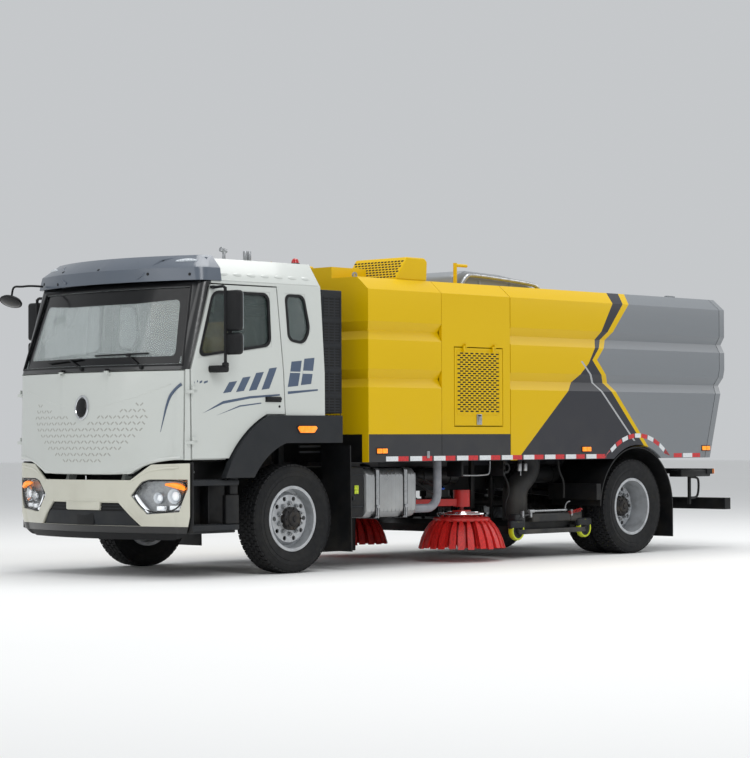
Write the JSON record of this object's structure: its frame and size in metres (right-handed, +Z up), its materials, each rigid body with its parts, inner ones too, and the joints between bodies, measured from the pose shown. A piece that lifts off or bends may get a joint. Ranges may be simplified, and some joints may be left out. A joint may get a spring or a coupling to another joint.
{
  "type": "street sweeper truck",
  "caption": "Cab-over vacuum street sweeper truck with tilting cab, hinged doors and front panel, steered wheels, side brushes, suction nozzle, tipping hopper and rear door.",
  "frame": {"origin": "under the middle of the truck's overall box, on the ground", "axes": "+X forward, +Y to the truck's left, +Z up"},
  "size_m": [8.5398, 2.98, 3.025],
  "materials": {
    "cab_paint": "light cream-grey paint",
    "body_paint": "yellow paint",
    "chassis_paint": "black chassis paint",
    "trim": "dark grey moulding",
    "glass": "tinted window glass",
    "lens": "clear and coloured lamp lenses",
    "tyre": "tyre rubber",
    "wheel": "silver wheel paint",
    "axle": "cast axle parts",
    "spring": "spring steel",
    "engine": "engine block",
    "tank": "bare aluminium tank",
    "seat": "dark seat cloth",
    "arm": "red paint",
    "bristle": "red brush bristles",
    "duct": "black duct",
    "hose": "grey hose"
  },
  "bodies": {
    "chassis": {"chassis_frame": "chassis_paint", "front_axle": "axle", "rear_axle": "axle", "leaf_springs": "spring", "engine": "engine", "fuel_tank": "tank", "battery_boxes": "chassis_paint", "tank_brackets": "chassis_paint", "cab_steps": "trim", "mudguards": "trim", "rear_underrun": "chassis_paint", "front_bumper": "cab_paint", "lamps": "lens", "bumper_grille": "trim", "frame_horns": "chassis_paint", "air_intake": "trim", "power_pack_housing": "body_paint", "roof_cowls": "body_paint", "fan_housing": "body_paint", "suction_ducts": "duct", "water_hose": "hose"},
    "cab": {"cab_shell": "cab_paint", "cab_glass": "glass", "wheel_arches": "trim", "seats": "seat", "dashboard": "trim", "sun_visor": "trim", "front_mirror": "trim"},
    "front_panel": {"front_panel": "cab_paint"},
    "hopper": {"hopper_body": "body_paint", "roof_duct": "body_paint"},
    "tailgate": {"tailgate": "body_paint"},
    "nozzle": {"suction_nozzle": "chassis_paint", "nozzle_wheels": "arm"},
    "door_left": {"door_left": "cab_paint", "glass_left": "glass", "mirror_left": "trim"},
    "knuckle_left": {"knuckle_left": "axle"},
    "front_wheel_left": {"front_wheel_left": "wheel", "front_tyre_left": "tyre"},
    "rear_wheels_left": {"rear_wheels_left": "wheel", "rear_tyres_left": "tyre"},
    "service_door_left": {"service_door_left": "body_paint"},
    "brush_arm_left": {"brush_arm_left": "arm"},
    "brush_left": {"brush_left": "bristle"},
    "door_right": {"door_right": "cab_paint", "glass_right": "glass", "mirror_right": "trim"},
    "knuckle_right": {"knuckle_right": "axle"},
    "front_wheel_right": {"front_wheel_right": "wheel", "front_tyre_right": "tyre"},
    "rear_wheels_right": {"rear_wheels_right": "wheel", "rear_tyres_right": "tyre"},
    "service_door_right": {"service_door_right": "body_paint"},
    "brush_arm_right": {"brush_arm_right": "arm"},
    "brush_right": {"brush_right": "bristle"}
  },
  "joints": [
    {"name": "cab_tilt", "type": "hinge", "parent": "chassis", "child": "cab", "pos_m": [4.08, 0, 0.8], "axis": [0, 1, 0], "range_deg": [0, 50]},
    {"name": "front_panel_lift", "type": "hinge", "parent": "cab", "child": "front_panel", "pos_m": [4.228, 0, 1.862], "axis": [0, -1, 0], "range_deg": [0, 65]},
    {"name": "hopper_tip", "type": "hinge", "parent": "chassis", "child": "hopper", "pos_m": [-3.56, 0, 0.905], "axis": [0, -1, 0], "range_deg": [0, 45]},
    {"name": "tailgate_lift", "type": "hinge", "parent": "hopper", "child": "tailgate", "pos_m": [-3.855, 0, 2.83], "axis": [0, 1, 0], "range_deg": [0, 85]},
    {"name": "nozzle_lower", "type": "slide", "parent": "chassis", "child": "nozzle", "axis": [0, 0, -1], "range_m": [0, 0.155]},
    {"name": "door_left_hinge", "type": "hinge", "parent": "cab", "child": "door_left", "pos_m": [3.986, 1.21664, 1.4], "axis": [0, 0, -1], "range_deg": [0, 70]},
    {"name": "steer_left", "type": "hinge", "parent": "chassis", "child": "knuckle_left", "pos_m": [2.66, 0.8, 0.506], "axis": [0, 0, 1], "range_deg": [-35, 35]},
    {"name": "front_wheel_left_spin", "type": "hinge", "parent": "knuckle_left", "child": "front_wheel_left", "pos_m": [2.66, 1.01, 0.506], "axis": [0, 1, 0], "continuous": true},
    {"name": "rear_wheels_left_spin", "type": "hinge", "parent": "chassis", "child": "rear_wheels_left", "pos_m": [-2.39, 0.92, 0.506], "axis": [0, 1, 0], "continuous": true},
    {"name": "service_door_left_lift", "type": "hinge", "parent": "chassis", "child": "service_door_left", "pos_m": [0.2, 1.289, 2.151], "axis": [1, 0, 0], "range_deg": [0, 90]},
    {"name": "brush_arm_left_swing", "type": "hinge", "parent": "chassis", "child": "brush_arm_left", "pos_m": [0.71, 0.52, 0.62], "axis": [0, 0, -1], "range_deg": [0, 30]},
    {"name": "brush_left_spin", "type": "hinge", "parent": "brush_arm_left", "child": "brush_left", "pos_m": [-0.04, 0.82, 0.4], "axis": [0, 0, 1], "continuous": true},
    {"name": "door_right_hinge", "type": "hinge", "parent": "cab", "child": "door_right", "pos_m": [3.986, -1.21664, 1.4], "axis": [0, 0, 1], "range_deg": [0, 70]},
    {"name": "steer_right", "type": "hinge", "parent": "chassis", "child": "knuckle_right", "pos_m": [2.66, -0.8, 0.506], "axis": [0, 0, 1], "range_deg": [-35, 35]},
    {"name": "front_wheel_right_spin", "type": "hinge", "parent": "knuckle_right", "child": "front_wheel_right", "pos_m": [2.66, -1.01, 0.506], "axis": [0, 1, 0], "continuous": true},
    {"name": "rear_wheels_right_spin", "type": "hinge", "parent": "chassis", "child": "rear_wheels_right", "pos_m": [-2.39, -0.92, 0.506], "axis": [0, 1, 0], "continuous": true},
    {"name": "service_door_right_lift", "type": "hinge", "parent": "chassis", "child": "service_door_right", "pos_m": [0.2, -1.289, 2.151], "axis": [-1, 0, 0], "range_deg": [0, 90]},
    {"name": "brush_arm_right_swing", "type": "hinge", "parent": "chassis", "child": "brush_arm_right", "pos_m": [0.71, -0.52, 0.62], "axis": [0, 0, 1], "range_deg": [0, 30]},
    {"name": "brush_right_spin", "type": "hinge", "parent": "brush_arm_right", "child": "brush_right", "pos_m": [-0.04, -0.82, 0.4], "axis": [0, 0, 1], "continuous": true}
  ],
  "couplings": [
    {"joint": "steer_right", "follows": "steer_left", "ratio": 1}
  ]
}
